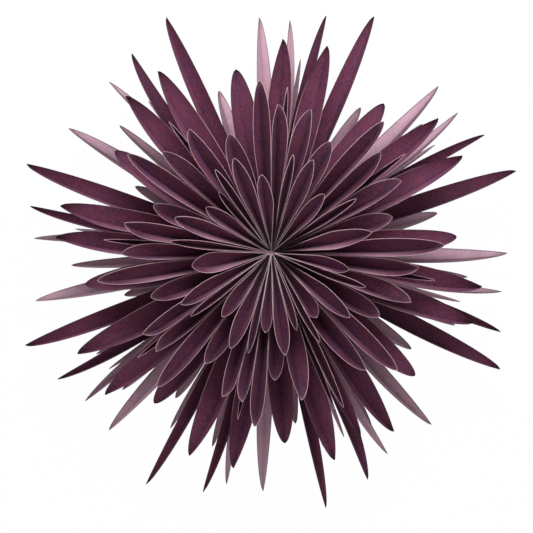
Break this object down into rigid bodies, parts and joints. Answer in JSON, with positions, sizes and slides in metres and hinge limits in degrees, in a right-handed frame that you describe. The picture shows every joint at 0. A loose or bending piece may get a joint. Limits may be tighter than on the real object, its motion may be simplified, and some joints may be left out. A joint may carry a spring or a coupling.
{
  "type": "paper flower",
  "caption": "Many-layered decorative paper flower of long folded leaves standing in rings round a slim paper core, lying on its back.",
  "frame": {"origin": "on the flower's axis, at the core's back end, in the plane that the flower lies on", "axes": "+Z along the flower's axis from its back to its face; +Y is the top of the flower as it hangs, +X its right-hand side seen from the face"},
  "size_m": [0.3809, 0.3818, 0.0981],
  "materials": {
    "plum_paper": "matt dyed paper, dark plum",
    "back_paper": "matt dyed paper, paler dusty mauve",
    "core_paper": "rolled and glued matt paper"
  },
  "bodies": {
    "root": {"back_ring_1": "back_paper", "back_ring_2": "back_paper", "back_ring_3": "back_paper", "back_ring_4": "back_paper", "back_ring_5": "back_paper", "back_ring_6": "back_paper", "back_ring_7": "back_paper", "back_ring_8": "back_paper", "core": "core_paper", "front_ring_1": "plum_paper", "front_ring_2": "plum_paper", "front_ring_3": "plum_paper", "front_ring_4": "plum_paper", "front_ring_5": "plum_paper", "front_ring_6": "plum_paper", "front_ring_7": "plum_paper", "front_ring_8": "plum_paper", "long_ring_1": "plum_paper", "long_ring_2": "plum_paper", "long_ring_3": "plum_paper", "long_ring_4": "plum_paper", "long_ring_5": "plum_paper", "long_ring_6": "plum_paper", "long_ring_7": "plum_paper", "long_ring_8": "plum_paper", "rear_ring_1": "back_paper", "rear_ring_2": "back_paper", "rear_ring_3": "back_paper", "rear_ring_4": "back_paper", "rear_ring_5": "back_paper", "rear_ring_6": "back_paper", "rear_ring_7": "back_paper", "rear_ring_8": "back_paper", "second_ring_1": "plum_paper", "second_ring_2": "plum_paper", "second_ring_3": "plum_paper", "second_ring_4": "plum_paper", "second_ring_5": "plum_paper", "second_ring_6": "plum_paper", "second_ring_7": "plum_paper", "second_ring_8": "plum_paper", "slip_ring_1": "plum_paper", "slip_ring_2": "plum_paper", "slip_ring_3": "plum_paper", "slip_ring_4": "plum_paper", "slip_ring_5": "plum_paper", "slip_ring_6": "plum_paper", "slip_ring_7": "plum_paper", "slip_ring_8": "plum_paper", "third_ring_1": "plum_paper", "third_ring_2": "plum_paper", "third_ring_3": "plum_paper", "third_ring_4": "plum_paper", "third_ring_5": "plum_paper", "third_ring_6": "plum_paper", "third_ring_7": "plum_paper", "third_ring_8": "plum_paper"}
  },
  "joints": []
}
